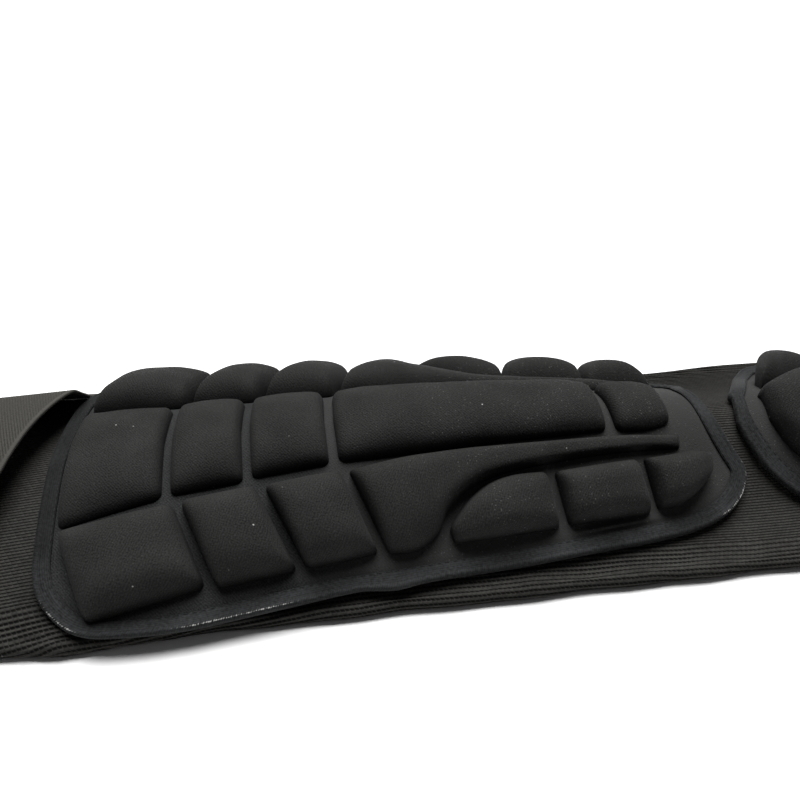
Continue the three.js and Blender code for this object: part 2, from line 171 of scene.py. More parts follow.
# The pads of the far side lie back by this much, and rise by this share of their height.
FAR_BACK = (0, 0, 0, 0, 0.8, 3, 5)
FAR_RISE = (1, 1, 1, 1, 1.12, 1.12, 1.04)
FAR_SIDE_PADS = [
    ([(a - back, inner, b - back, outer, high * rise) for a, inner, b, outer, high in ribs], corner)
    for (ribs, corner), back, rise in zip(SIDE_PADS, FAR_BACK, FAR_RISE)
]
INSTEP_SIDE_PADS = [
    ([(319, 13.2, 319, 38.4, LOW), (348, 18.8, 346, 38.4, LOW)], 4),
    ([(353, 19.6, 351, 37.8, LOW), (376, 21.4, 370, 33, 0.85 * LOW)], 4),
]
INSTEP_FAR_WIDER = 6  # pads of the instep's far side reach further out by this much
INSTEP_FAR_SIDE_PADS = [
    ([(a, inner, b, outer + INSTEP_FAR_WIDER, high) for a, inner, b, outer, high in ribs], corner)
    for ribs, corner in INSTEP_SIDE_PADS
]
INSTEP_NEAR_FIRST = (
    [
        (277, -3, 279, 12, 0.85 * LOW),
        (285, -6, 286.5, 23, LOW),
        (300, -13, 300, 34, LOW),
        (314, -18, 314, 38, LOW),
    ],
    4,
)
INSTEP_FAR_FIRST = (
    [
        (282, 9, 283.5, 17, LOW),
        (289.5, 12, 292, 30, 1.1 * LOW),
        (301, 18.5, 303, 41, 1.1 * LOW),
        (314, 23, 314, 44, 1.1 * LOW),
    ],
    3,
)
# Centre pads lie on both sides of the centre line: each rib is a station, a half width and a height.
CENTRE_PADS = [
    ([(-3.5, 31.5, CENTRE), (14, 28.2, CENTRE), (32.4, 25.2, CENTRE)], 5),
    ([(37.3, 24.4, CENTRE), (62.5, 22.8, CENTRE)], 4),
    ([(67.5, 21.8, CENTRE), (95, 19.6, CENTRE)], 4),
    ([(100.2, 19.2, CENTRE), (122, 18.4, CENTRE), (162, 15.8, CENTRE), (205, 12.6, CENTRE)], 5),
    ([(210.4, 12.9, 6.8), (222, 12.4, 6.8), (232.5, 9.5, 6.8)], 5),
]
INSTEP_CENTRE_PADS = [
    ([(319, 8, CENTRE), (348, 14, CENTRE)], 4),
    ([(353, 14.6, CENTRE), (377, 16.4, CENTRE)], 4),
]

# Sewn edge round a base: distance out from the base and height over the floor, once round its section.
EDGE_SECTION = [
    (-0.7, 0.05), (-0.6, 0.42), (0.0, 0.6), (0.8, 0.72), (1.8, 0.88), (2.8, 0.9), (3.5, 0.78),
    (3.9, 0.82), (4.4, 0.98), (5.0, 0.9), (5.5, 0.4), (5.75, -0.4), (5.7, -1.4), (5.3, -2.4),
    (4.6, -2.95), (3.0, -2.98), (1.4, -2.98), (0.5, -2.95), (0.42, -1.6), (0.4, -0.12), (-0.2, -0.02),
]
EDGE_REACH = max(out for out, high in EDGE_SECTION)

# Strap over the calf: distance across, station of its middle, and lift over the knit.
STRAP = np.array(
    [
        (-67, -61, 0),
        (-58, -59.5, 2),
        (-40, -55, 8),
        (-15, -48.5, 12),
        (12, -42, 13.5),
        (38, -33.6, 12.8),
        (48, -32.4, 7.6),
        (56, -32.6, 3.8),
        (62, -33.2, 1.4),
        (67, -34, 0),
    ]
)
STRAP_HALF_WIDTH = 23.0


def metres(name, description, default):
    """A length for the sidebar."""
    return FloatProperty(name=name, description=description, default=default, unit="LENGTH")


def tint(name, description, default):
    """A colour for the sidebar."""
    limits = {"min": 0.0, "max": 1.0}
    return FloatVectorProperty(name=name, description=description, default=default, subtype="COLOR", **limits)


class GuardSizes(bpy.types.PropertyGroup):
    """Sizes of the soft shapes, on top of what the frame fixes."""

    pad_wall: FloatProperty(
        name="Pad wall",
        description="Height of the steep foot at a pad's ends, as a share of the pad's height",
        default=0.48,
        subtype="FACTOR",
    )
    pad_foot: metres("Pad foot", "How far a pad's steep foot leans in", 0.0028)
    pad_skirt: metres("Pad skirt", "How far a pad's foot spreads into the grooves round it", 0.0008)
    pad_dome: metres("Pad dome", "How far from its end a pad is domed", 0.021)
    pad_corner: FloatProperty(
        name="Pad corner",
        description="Rounding of a pad's corners, as a share of the frame's",
        default=0.6,
        subtype="FACTOR",
    )
    pad_dents: metres("Pad dents", "Depth of the soft unevenness of a pad's top", 0.0003)
    rib_depth: metres("Knit rib depth", "Depth of the ribs that run along the folds of the sleeve", 0.00045)
    webbing_depth: metres("Strap rib depth", "Depth of the fine ribs of the strap", 0.00016)
    strap_thickness: metres("Strap thickness", "Thickness of the elastic strap", 0.0016)
    stitch_length: metres("Stitch length", "Length of a stitch in the seam of a panel's edge", 0.0021)
    stitch_gap: metres("Stitch gap", "Gap between two stitches", 0.0010)
    thread: metres("Thread", "Thickness of the sewing thread", 0.00036)


class GuardColours(bpy.types.PropertyGroup):
    """Colours of the guard's cloths and of the stage."""

    knit: tint("Knit", "Yarn of the sleeve", (0.0268, 0.0262, 0.0242))
    jersey: tint("Jersey", "Cloth over the foam", (0.0182, 0.0182, 0.0177))
    flange: tint("Flange", "Cloth over the foam between the pads", (0.0208, 0.0212, 0.0217))
    hem: tint("Hem", "Tape round the panels", (0.0178, 0.0184, 0.019))
    webbing: tint("Webbing", "Elastic of the strap", (0.043, 0.0418, 0.0375))
    # The lint colour also paints the glints of light on the hems' rolled edges.
    lint: tint("Lint", "Worn fibres and lint", (0.24, 0.24, 0.23))
    floor: tint("Floor", "Pale floor of the stage", (0.93, 0.93, 0.93))


def between(table, column, at):
    """A smooth value between the rows of a table, at many places in its first column at once."""
    keys, values = table[:, 0], table[:, column]
    at = np.clip(at, keys[0], keys[-1])
    before = np.maximum(np.arange(len(keys)) - 1, 0)
    after = np.minimum(np.arange(len(keys)) + 1, len(keys) - 1)
    slopes = (values[after] - values[before]) / (keys[after] - keys[before])
    i = np.clip(np.searchsorted(keys, at) - 1, 0, len(keys) - 2)
    step = keys[i + 1] - keys[i]
    t = (at - keys[i]) / step
    rise = t * t * (3 - 2 * t)
    start = t * (1 - t) ** 2 * step * slopes[i]
    finish = t * t * (1 - t) * step * slopes[i + 1]
    return values[i] * (1 - rise) + values[i + 1] * rise + start - finish


def ramp(place, start, width):
    """From 0 at the start to 1 a width further on."""
    return np.clip((place - start) / width, 0, 1)


def eased(share):
    """A share from 0 to 1 that starts and stops gently."""
    return share * share * (3 - 2 * share)


def hump(place, middle, width):
    """1 at the middle, falling off to both sides within about the width."""
    return np.exp(-(((place - middle) / width) ** 2))


def run_over(points):
    """Running length over a row of points, from 0."""
    return np.concatenate([[0], np.cumsum(np.linalg.norm(np.diff(points, axis=0), axis=1))])


def spline(points, t):
    """A curve through the points, evenly timed."""
    points = np.asarray(points, float)
    last = len(points) - 1
    place = np.clip(t, 0, 1) * last
    i = np.minimum(place.astype(int), last - 1)
    f = (place - i)[:, None]
    p0, p1, p2, p3 = (points[np.clip(i + k, 0, last)] for k in (-1, 0, 1, 2))
    v1, v2 = (p2 - p0) / 2, (p3 - p1) / 2
    cubic = (2 * p1 - 2 * p2 + v1 + v2) * f**3
    return cubic + (3 * p2 - 3 * p1 - 2 * v1 - v2) * f**2 + v1 * f + p1


ARC_CHORDS = 120
ARC_CHUNK = 16000  # points worked out at once


def arch(at):
    """The floor's arches at many stations: y, z and the way from the centre line, a row for each station."""
    crown, half, peak = (between(SECTIONS, column, at)[:, None] for column in (1, 2, 3))
    share = np.linspace(0, 1, ARC_CHORDS + 1)[None, :]
    y = half * share
    z = FOLD_HEIGHT + (crown - FOLD_HEIGHT) * np.maximum(np.cos(math.pi / 2 * share), 0) ** peak
    way = np.zeros_like(y)
    way[:, 1:] = np.cumsum(np.hypot(np.diff(y), np.diff(z)), axis=1)
    return y, z, way


def over_floor(at, across, high):
    """Points over the arched floor, in metres: across runs over the arch, high along its own normal."""
    parts = np.broadcast_arrays(*(np.asarray(v, float) for v in (at, across, high)))
    shape = parts[0].shape
    at, across, high = (v.reshape(-1) for v in parts)
    made = np.empty((len(at), 3))
    for first in range(0, len(at), ARC_CHUNK):
        cut = slice(first, first + ARC_CHUNK)
        y, z, way = arch(at[cut])
        reach = np.abs(across[cut])
        held = np.minimum(reach, way[:, -1])
        i = np.clip((way < held[:, None]).sum(1) - 1, 0, ARC_CHORDS - 1)
        row = np.arange(len(i))
        t = (held - way[row, i]) / (way[row, i + 1] - way[row, i])
        chord = np.diff(z) / np.diff(y)
        node = np.concatenate([0 * chord[:, :1], (chord[:, 1:] + chord[:, :-1]) / 2, chord[:, -1:]], axis=1)
        slope = node[row, i] * (1 - t) + node[row, i + 1] * t
        level = np.hypot(1, slope)
        out = y[row, i] * (1 - t) + y[row, i + 1] * t - high[cut] * slope / level + reach - held
        made[cut, 0] = at[cut] - MIDDLE
        made[cut, 1] = np.where(across[cut] < 0, -1, 1) * out
        made[cut, 2] = z[row, i] * (1 - t) + z[row, i + 1] * t + high[cut] / level
    return (made * MM).reshape(*shape, 3)


def shin_lean(at, across):
    """How far back the shin panel's pattern lies, as a share of its reach across."""
    far = ramp(at, 110, 130)
    return np.where(across < 0, NEAR_LEAN, FAR_LEAN * eased(far))


def instep_lean(at, across):
    """The instep panel leans the other way, on its near side only."""
    return np.where(across < 0, INSTEP_LEAN, 0)


def on_panel(lean, at, across, high):
    """Points over the floor of a panel whose pattern leans."""
    return over_floor(at - lean(at, across) * across, across, high)


def steps_along(points, axis):
    """Running length over a grid of points along one axis, in millimetres, zero in the middle."""
    legs = np.linalg.norm(np.diff(points, axis=axis), axis=2) / MM
    run = np.cumsum(legs, axis=axis)
    pad = [(0, 0), (0, 0)]
    pad[axis] = (1, 0)
    run = np.pad(run, pad)
    return run - np.take(run, [run.shape[axis] // 2], axis=axis)


def unevenness(points, size, seed):
    """Soft hollows and swells from -1 to 1 at points in metres, about size metres across."""
    total = np.zeros(points.shape[:2])
    for k in range(5):
        turn = 2.4 * k + 1.7 * seed
        along = points[:, :, 0] * math.cos(turn) + points[:, :, 1] * math.sin(turn)
        total += np.sin(along / size * (1.6 + 0.55 * k) + 3.1 * turn)
    return total / 3


SAME_POINT = 1e-7  # points closer than this, in metres, are one


def laid_grid(points, pattern):
    """A grid of faces through a table of points, with the layers that hold each point's row and column."""
    rows, columns = points.shape[:2]
    bm = bmesh.new()
    bmesh.ops.create_grid(bm, x_segments=rows - 1, y_segments=columns - 1, size=1.0)
    row_of = bm.verts.layers.int.new("row")
    column_of = bm.verts.layers.int.new("column")
    for vert in bm.verts:
        vert[row_of] = round((vert.co.x + 1) / 2 * (rows - 1))
        vert[column_of] = round((vert.co.y + 1) / 2 * (columns - 1))
        vert.co = points[vert[row_of], vert[column_of]]
    lay_pattern(bm, pattern, row_of, column_of)
    return bm, row_of, column_of


def cloth_piece(name, outer, inner, pattern, finish, tube=False, marks=None):
    """A closed piece with an outer and an inner face over the same grid, made by extruding the grid."""
    bm, row_of, column_of = laid_grid(inner, pattern)
    if tube:
        bmesh.ops.remove_doubles(bm, verts=bm.verts[:], dist=SAME_POINT)
    grown = bmesh.ops.extrude_face_region(bm, geom=bm.faces[:])["geom"]
    for vert in (g for g in grown if isinstance(g, bmesh.types.BMVert)):
        vert.co = outer[vert[row_of], vert[column_of]]
    mark_points(bm, marks, row_of, column_of)
    return finished(bm, name, finish)


def ring_piece(name, points, pattern, finish, marks=None):
    """A closed ring whose section is closed too: the grid's first and last rows and columns meet."""
    bm, row_of, column_of = laid_grid(points, pattern)
    mark_points(bm, marks, row_of, column_of)
    bmesh.ops.remove_doubles(bm, verts=bm.verts[:], dist=SAME_POINT)
    return finished(bm, name, finish)


def lay_pattern(bm, pattern, row_of, column_of):
    """Lays the flat pattern of a cloth, in millimetres, as the piece's own UV map."""
    cloth = bm.loops.layers.uv.new("cloth")
    for face in bm.faces:
        for loop in face.loops:
            loop[cloth].uv = pattern[loop.vert[row_of], loop.vert[column_of]]


def mark_points(bm, marks, row_of, column_of):
    """Keeps a number at each point, such as how worn the cloth is there."""
    for name, values in (marks or {}).items():
        layer = bm.verts.layers.float.new(name)
        for vert in bm.verts:
            vert[layer] = values[vert[row_of], vert[column_of]]


def finished(bm, name, finish):
    """Turns a bmesh into a smooth shaded object that rides on the guard."""
    for layer in ("row", "column"):
        if layer in bm.verts.layers.int:
            bm.verts.layers.int.remove(bm.verts.layers.int[layer])
    bmesh.ops.recalc_face_normals(bm, faces=bm.faces[:])
    for face in bm.faces:
        face.smooth = True
    mesh = bpy.data.meshes.new(name)
    bm.to_mesh(mesh)
    bm.free()
    mesh.materials.append(finish)
    piece = bpy.data.objects.new(name, mesh)
    bpy.context.scene.collection.objects.link(piece)
    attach(piece, "root")
    return piece


class Signal:
    """A shader socket: arithmetic on it adds Math nodes, and make() adds any other node."""

    def __init__(self, tree, socket=None):
        self.tree = tree
        self.socket = socket

    def make(self, kind, settings=(), inputs=(), output=0):
        node = self.tree.nodes.new("ShaderNode" + kind)
        for key, value in dict(settings).items():
            setattr(node, key, value)
        for key, value in dict(inputs).items():
            if isinstance(value, Signal):
                self.tree.links.new(value.socket, node.inputs[key])
            else:
                node.inputs[key].default_value = value
        return Signal(self.tree, node.outputs[output])

    def math(self, operation, *others):
        return self.make("Math", {"operation": operation}, enumerate((self, *others)))

    def __add__(self, other):
        return self.math("ADD", other)

    __radd__ = __add__

    def __mul__(self, other):
        return self.math("MULTIPLY", other)

    __rmul__ = __mul__

    def __sub__(self, other):
        return self.math("SUBTRACT", other)

    def __rsub__(self, other):
        return self * -1 + other

    def __truediv__(self, other):
        return self.math("DIVIDE", other)

    def wave(self, length):
        """From -1 to 1, once every length."""
        return (self * (2 * math.pi / length)).math("SINE")

    def step(self, low, high):
        """From 0 below low to 1 above high, eased."""
        ends = {"Value": self, "From Min": low, "From Max": high}
        return self.make("MapRange", {"interpolation_type": "SMOOTHSTEP"}, ends)

    def blend(self, low, high):
        """A colour between two, by this share."""
        return self.make("Mix", {"data_type": "RGBA"}, {0: self, 6: low, 7: high}, 2)


def grey(colour, share=1.0):
    """A colour for a socket, lighter or darker by a share."""
    return (*(min(c * share, 1.0) for c in colour), 1.0)


def part(vector, axis):
    """One number of a vector: x, y or z."""
    return vector.make("SeparateXYZ", (), {0: vector}, axis)


def noise(place, scale, detail=2.0):
    """Soft noise from 0 to 1."""
    return place.make("TexNoise", (), {"Vector": place, "Scale": scale, "Detail": detail})


def marked(pattern, name):
    """What the points of a piece are marked with."""
    return pattern.make("Attribute", {"attribute_name": name}, (), "Fac")


def cloth_finish(name, roughness, sheen):
    """A new cloth material: its tree's start, its shader, and its pattern's x and y in millimetres."""
    material = bpy.data.materials.new(name)
    material.use_nodes = True
    shader = material.node_tree.nodes["Principled BSDF"]
    shader.inputs["Roughness"].default_value = roughness
    shader.inputs["Specular IOR Level"].default_value = 0.06
    shader.inputs["Sheen Weight"].default_value = sheen
    shader.inputs["Sheen Roughness"].default_value = 0.45
    start = Signal(material.node_tree)
    pattern = start.make("UVMap", {"uv_map": "cloth"})
    return material, shader, pattern, part(pattern, 0), part(pattern, 1)


def wire(shader, colour, height, depth):
    """Feeds a shader its colour and a bump whose height is in millimetres."""
    tree = colour.tree
    tree.links.new(colour.socket, shader.inputs["Base Color"])
    bump = colour.make("Bump", (), {"Strength": 1.0, "Distance": depth * MM, "Height": height})
    tree.links.new(bump.socket, shader.inputs["Normal"])


def lint_on(pattern, spread, size, few):
    """Scattered short fibres: 1 on them, 0 elsewhere."""
    cells = {"Vector": pattern, "Scale": 1 / spread}
    near = pattern.make("TexVoronoi", {"feature": "F1"}, cells, "Distance")
    chance = pattern.make("TexVoronoi", {"feature": "F1"}, cells, "Color")
    chosen = chance.make("SeparateColor", (), {0: chance}, 0).step(few, few + 0.02)
    return (1 - near.step(size / spread * 0.4, size / spread)) * chosen


def jersey_finish(colours):
    """Black jersey over the pads."""
    return grained_cloth("jersey_cloth", colours.jersey, colours.lint)


def flange_finish(colours):
    """The same jersey pressed flat on the foam floor."""
    return grained_cloth("flange_cloth", colours.flange, colours.lint, toe_paling=0.6)


def grained_cloth(name, yarn, lint, toe_paling=0.0):
    """A fine broken grain, soft clouding, painted shade at a pad's foot, lint and dust specks that gather
    towards the toes, and cloth that pales towards the toe end.
    """
    material, shader, pattern, x, y = cloth_finish(name, 0.82, 0.015)
    rough = noise(pattern, 1.5, 3.0)
    foot = marked(pattern, "foot")
    cloud = noise(pattern, 0.06)
    drift = noise(pattern, 0.35)
    slant = (x * 0.78 + y * 0.62 + drift * 1.6).wave(0.85)
    counter = (x * 0.55 - y * 0.83 + drift * 1.4).wave(1.1)
    grain = slant * 0.15 + counter * 0.06 + (rough - 0.5) * 1.8 + 0.5
    shade = grain + (cloud - 0.5) * 0.7
    cloth = shade.step(-0.3, 1.3).blend(grey(yarn, 0.4), grey(yarn, 1.7))
    # Painted shade: the foot of a pad is darkened where it meets the floor, standing in for the shade in that
    # crease.
    cloth = (foot * 0.85).blend(cloth, grey(yarn, 0.08))
    # Paler towards the toe end.
    cloth = (x.step(70, 110) * toe_paling).blend(cloth, grey(lint, 0.15))
    dust = (cloud.step(0.36, 0.6) * 0.7 + 0.3) * (x.step(95, 150) * 0.75 + 0.25)
    specks = lint_on(pattern, 1.25, 0.28, 0.5) * dust * 0.5
    colour = specks.blend(cloth, grey(lint, 0.6))
    colour = (lint_on(pattern, 7.5, 0.42, 0.82) * 0.9).blend(colour, grey(lint, 1.5))
    wire(shader, colour, grain, 0.13)
    return material


def knit_finish(colours):
    """Ribbed knit: rows of loops with dark holes between them where it opens, and painted shade over its far
    side.
    """
    material, shader, pattern, x, y = cloth_finish("knit_cloth", 0.9, 0.015)
    cloud = noise(pattern, 0.05)
    fray = noise(pattern, 0.8)
    open_here = marked(pattern, "open")
    row = y + (cloud - 0.5) * 0.5 + (fray - 0.5) * 0.12
    line = row.math("FLOOR")
    from_row = row - line - 0.5
    along = x / 1.7 + line * 0.5 + from_row * 0.4 + (fray - 0.5) * 0.3
    stitch = along.math("FLOOR")
    from_stitch = along - stitch - 0.5
    cell = pattern.make("CombineXYZ", (), {0: stitch, 1: line})
    chance = pattern.make("TexWhiteNoise", {"noise_dimensions": "2D"}, {"Vector": cell}, "Value")
    crest = 1 - from_row * from_row * 4.0
    loop = 1 - from_stitch * from_stitch * 4.0
    valley = (1 - crest.step(0.0, 0.6)) * (0.08 + 0.3 * open_here)
    gap = (1 - crest.step(0.45, 1.0)) * loop.step(0.2, 0.6) * (0.5 + 0.5 * open_here)
    shade = 0.35 + crest * 0.2 + loop * 0.15 + (chance - 0.5) * 0.2
    shade = shade + (cloud - 0.5) * 0.5 + (fray - 0.5) * 0.5
    cloth = shade.step(0.0, 1.1).blend(grey(colours.knit, 0.45), grey(colours.knit, 1.75))
    dark = 1 - (1 - valley * 0.92) * (1 - gap * 0.95)
    colour = dark.blend(cloth, grey(colours.knit, 0.06))
    # Painted shade that darkens the far side of the sleeve.
    far = part(pattern.make("TexCoord", (), (), "Object"), 1).step(-0.005, 0.03)
    colour = (far * 0.35).blend(colour, grey(colours.knit, 0.06))
    lint = lint_on(pattern, 8.0, 0.4, 0.88) * 0.5
    colour = lint.blend(colour, grey(colours.lint, 0.7))
    wire(shader, colour, crest * 0.4 + loop * 0.3 - dark * 0.3, 0.45)
    return material


def hem_finish(colours):
    """Tape with fine lines along it, a rolled edge with whitish wear and painted glints where it is worn, and
    painted shadow over the calf end.
    """
    material, shader, pattern, x, y = cloth_finish("hem_cloth", 0.72, 0.02)
    fray = noise(pattern, 0.9, 3.0)
    cloud = noise(pattern, 0.06)
    lines = (y + (cloud - 0.5) * 0.8).wave(0.8)
    rolled = y.step(4.4, 5.2)
    ridges = (x + y * 0.4).wave(0.85)
    wear_and_glint = marked(pattern, "wear_and_glint")
    height = lines * 0.14 * (1 - rolled) + ridges * 0.15 * rolled + (fray - 0.5) * 1.7
    shade = height * 0.85 + (cloud - 0.5) * 1.1 + 0.5
    cloth = shade.step(-0.2, 1.2).blend(grey(colours.hem, 0.35), grey(colours.hem, 1.8))
    spot = pattern.make("TexCoord", (), (), "Object")
    # Painted shadow: the hem at the calf end is darkened as if the strap shaded it.
    calf_end_shade = (1 - part(spot, 0).step(-0.152, -0.122)) * part(spot, 1).step(-0.052, -0.034)
    cloth = (calf_end_shade * 0.55).blend(cloth, grey(colours.hem, 0.1))
    # Whitish wear along the rolled edge, with painted glints of light where it is worn.
    glint = (wear_and_glint * (fray + ridges * 0.08)).step(0.32, 0.56) * 0.9
    colour = glint.blend(cloth, grey(colours.lint, 1.4))
    wire(shader, colour, height, 0.1)
    return material


def webbing_finish(colours):
    """Elastic webbing: pale ribs with dark lines between them, and a plain woven edge."""
    material, shader, pattern, x, y = cloth_finish("webbing_cloth", 0.85, 0.02)
    fray = noise(pattern, 1.2, 3.0)
    rib = marked(pattern, "rib")
    weft = y.wave(0.7)
    shade = rib * 0.8 + weft * 0.08 + (fray - 0.5) * 0.6 + 0.1
    colour = shade.step(0.0, 1.0).blend(grey(colours.webbing, 0.3), grey(colours.webbing, 1.5))
    wire(shader, colour, weft * 0.3 + (fray - 0.5), 0.1)
    return material


def thread_finish(colours):
    """Twisted sewing thread, a little lighter than the hem."""
    material, shader, pattern, *_ = cloth_finish("thread_cloth", 0.6, 0.02)
    place = pattern.make("TexCoord", (), (), "Object")
    twist = noise(place, 2500.0, 1.0)
    colour = twist.blend(grey(colours.hem, 0.4), grey(colours.hem, 1.5))
    wire(shader, colour, twist, 0.05)
    return material


def floor_finish(colours):
    """Pale matt floor with barely any unevenness."""
    material = bpy.data.materials.new("floor")
    material.use_nodes = True
    shader = material.node_tree.nodes["Principled BSDF"]
    shader.inputs["Roughness"].default_value = 0.85
    shader.inputs["Specular IOR Level"].default_value = 0.1
    start = Signal(material.node_tree)
    place = start.make("TexCoord", (), (), "Object")
    cloud = noise(place, 4.0)
    colour = cloud.blend(grey(colours.floor, 0.99), grey(colours.floor))
    material.node_tree.links.new(colour.socket, shader.inputs["Base Color"])
    return material


def finish_for(name):
    """A cloth's material, made once and shared."""
    makers = {
        "jersey": jersey_finish,
        "flange": flange_finish,
        "knit": knit_finish,
        "hem": hem_finish,
        "webbing": webbing_finish,
        "thread": thread_finish,
    }
    made = bpy.data.materials.get(f"{name}_cloth")
    return made or makers[name](bpy.context.scene.guard_colours)


PAD_STEP = 1.7  # millimetres between rows on the level part of a pad
PAD_SEAT = 0.06  # height of a pad's underside over the foam floor
PAD_LIP = 0.4  # height of its rim
END_STEPS = 12  # rows in the domed part of an end
NARROWEST = 0.2  # share of a pad's width that its rounded corners leave at the end
DOME_FULLNESS = 3.2  # the higher, the flatter a pad's top is across
END_FULLNESS = 2.1  # the same towards its ends
PAD_TOP = 1.03  # top of a dome, as a share of the pad's height
# Up to this share of its height, a pad's foot is darkened as painted shade, in the crease where it meets the
# floor.
PAINTED_FOOT_SHADE = 0.42  # share of the height over which the foot of a pad is darker


def shoulder(share, power):
    """Height of a rounded edge, from 0 at the edge to 1 where it has turned level."""
    left = 1 - np.clip(share, 0, 1)
    return np.sqrt(1 - left**power)


def both_ways(across, along):
    """A dome that falls off in two directions and keeps its corners rather full."""
    least = 1e-3
    return 1 / (1 / np.maximum(across, least) + 1 / np.maximum(along, least) - 1)


def end_stops(turn):
    """Distances from an end, close together at the end itself."""
    return turn * (1 - np.cos(np.linspace(0, math.pi / 2, END_STEPS + 1)))


def pad(name, ribs, corner, side, lean):
    """A moulded pad with a steep foot and a domed top, in place of its CAD solid."""
    sizes = bpy.context.scene.guard_sizes
    foot, turn, skirt = sizes.pad_foot / MM, sizes.pad_dome / MM, sizes.pad_skirt / MM
    ribs = np.array(ribs, float)
    fine = np.linspace(0, 1, 401)
    middle = (spline(ribs[:, 0:2], fine) + spline(ribs[:, 2:4], fine)) / 2
    run = run_over(middle)
    length = run[-1] + 2 * skirt
    turn = min(turn, length / 2)
    stops = end_stops(turn)
    level = np.linspace(turn, length - turn, int((length - 2 * turn) / PAD_STEP) + 2)[1:-1]
    rows = np.unique(np.round(np.concatenate([stops, level, length - stops]), 4))
    beyond = rows - skirt - np.clip(rows - skirt, 0, run[-1])
    t = np.interp(rows - skirt, run, fine)
    inner, outer = spline(ribs[:, 0:2], t), spline(ribs[:, 2:4], t)
    height = spline(ribs[:, 4:5], t)
    heading = np.where(beyond[:, None] < 0, middle[1] - middle[0], middle[-1] - middle[-2])
    heading = heading / np.linalg.norm(heading, axis=1)[:, None]
    centre, reach = (inner + outer) / 2 + heading * beyond[:, None], (outer - inner) / 2
    reach = reach * (1 + skirt / np.linalg.norm(reach, axis=1)[:, None])
    half = np.linalg.norm(reach, axis=1)
    from_end = np.maximum(np.minimum(rows, length - rows), 0)[:, None]
    corner = sizes.pad_corner * corner
    cut = np.maximum(corner - from_end[:, 0], 0)
    kept = np.maximum(half - (corner - np.sqrt(corner**2 - cut**2)), NARROWEST * half)[:, None]
    columns = 2 * int(half.max() / PAD_STEP + 6)
    across = -np.cos(np.linspace(0, math.pi, columns + 1))[None, :]
    from_edge = kept * (1 - np.abs(across))
    spot = centre[:, None, :] + reach[:, None, :] * (across * kept / half[:, None])[:, :, None]
    at, beside = spot[:, :, 0], side * spot[:, :, 1]
    wall = shoulder(from_edge / foot, 2.0) * shoulder(from_end / foot, 2.0)
    dome = both_ways(1 - np.abs(across) ** DOME_FULLNESS, shoulder(from_end / turn, END_FULLNESS))
    share = sizes.pad_wall * (1 - 0.7 * across**4)
    rise = share * wall + (PAD_TOP - share) * dome
    flat = on_panel(lean, at, beside, 0)
    dents = unevenness(flat, 0.014, 1) * 0.6 + unevenness(flat, 0.006, 2) * 0.4
    high = PAD_LIP + (height - PAD_LIP) * rise + dents * sizes.pad_dents / MM * wall
    top = on_panel(lean, at, beside, high)
    under = on_panel(lean, at, beside, PAD_SEAT)
    pattern = np.stack([steps_along(top, 0), steps_along(top, 1)], axis=2)
    pattern = pattern + np.array([centre[:, 0].mean(), side * centre[:, 1].mean()])
    # How far down the foot a point lies, for the painted shade there.
    marks = {"foot": np.clip(1 - rise / PAINTED_FOOT_SHADE, 0, 1)}
    piece = cloth_piece(f"{name}_cover", top, under, pattern, finish_for("jersey"), marks=marks)
    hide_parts(name)
    return piece


def pad_row(name, pads, side, lean):
    """The pads of a row, numbered from the calf end."""
    for k, (ribs, corner) in enumerate(pads):
        pad(f"{name}_{k + 1}", ribs, corner, side, lean)


def full_ribs(ribs):
    """The ribs of a centre pad, from its near edge to its far edge."""
    return [(at, -half, at, half, height) for at, half, height in ribs]


BASE_STEP = 1.3  # millimetres between the points of a foam floor
SEAM_DEPTH, SEAM_WIDTH = 0.5, 1.5  # groove along the seam of the sewn edge


def base_rows(table):
    """A base's rows close together: station, reach, bow and far reach."""
    fine = spline(table, np.linspace(0, 1, 900))
    run = np.concatenate([[0], np.cumsum(np.hypot(*np.diff(fine[:, :2], axis=0).T))])
    stops = np.linspace(0, run[-1], int(run[-1] / BASE_STEP))
    return np.stack([np.interp(stops, run, fine[:, k]) for k in range(4)], axis=1)


def foam_base(name, table, lean, crease=None):
    """The foam floor of a panel, covered in jersey."""
    rows = base_rows(table)
    columns = int(2 * table[:, 1].max() / BASE_STEP)
    s = np.linspace(-1, 1, columns)[None, :]
    at = rows[:, 0:1] - rows[:, 2:3] * (1 - s * s)
    reach = np.where(s < 0, rows[:, 1:2], rows[:, 3:4])
    across = reach * s
    flat = on_panel(lean, at, across, 0)
    from_end = np.minimum(rows[:, 0:1] - rows[0, 0], rows[-1, 0] - rows[:, 0:1])
    from_rim = np.minimum(reach * (1 - np.abs(s)), from_end)
    high = unevenness(flat, 0.016, 4) * 0.14 - SEAM_DEPTH * np.exp(-((from_rim / SEAM_WIDTH) ** 2))
    if crease is not None:
        high = high + crease(at, across)
    top = on_panel(lean, at, across, high)
    under = on_panel(lean, at, across, -BASE)
    pattern = np.stack([at, across], axis=2)
    piece = cloth_piece(f"{name}_cover", top, under, pattern, finish_for("flange"))
    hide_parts(name)
    return piece


CREASE_FROM = (182.0, -54.4)
CREASE_TO = (220.0, -49.0)


def flange_crease(at, across):
    """A soft fold in the near flange, beside the narrow end of the shin panel."""
    start, end = np.array(CREASE_FROM), np.array(CREASE_TO)
    run = (end - start) / np.linalg.norm(end - start)
    along = ((at - start[0]) * run[0] + (across - start[1]) * run[1]) / np.linalg.norm(end - start)
    beside = (across - start[1]) * run[0] - (at - start[0]) * run[1]
    held = np.clip(1 - (2 * along - 1) ** 2, 0, 1)
    ridge = 1.0 * hump(beside, 1.2, 1.1)
    return held * (ridge - 0.9 * hump(beside, -0.6, 0.9))


EDGE_STEP = 1.0
ACROSS_END = 18  # points across each end of a panel
SMOOTHINGS = 6


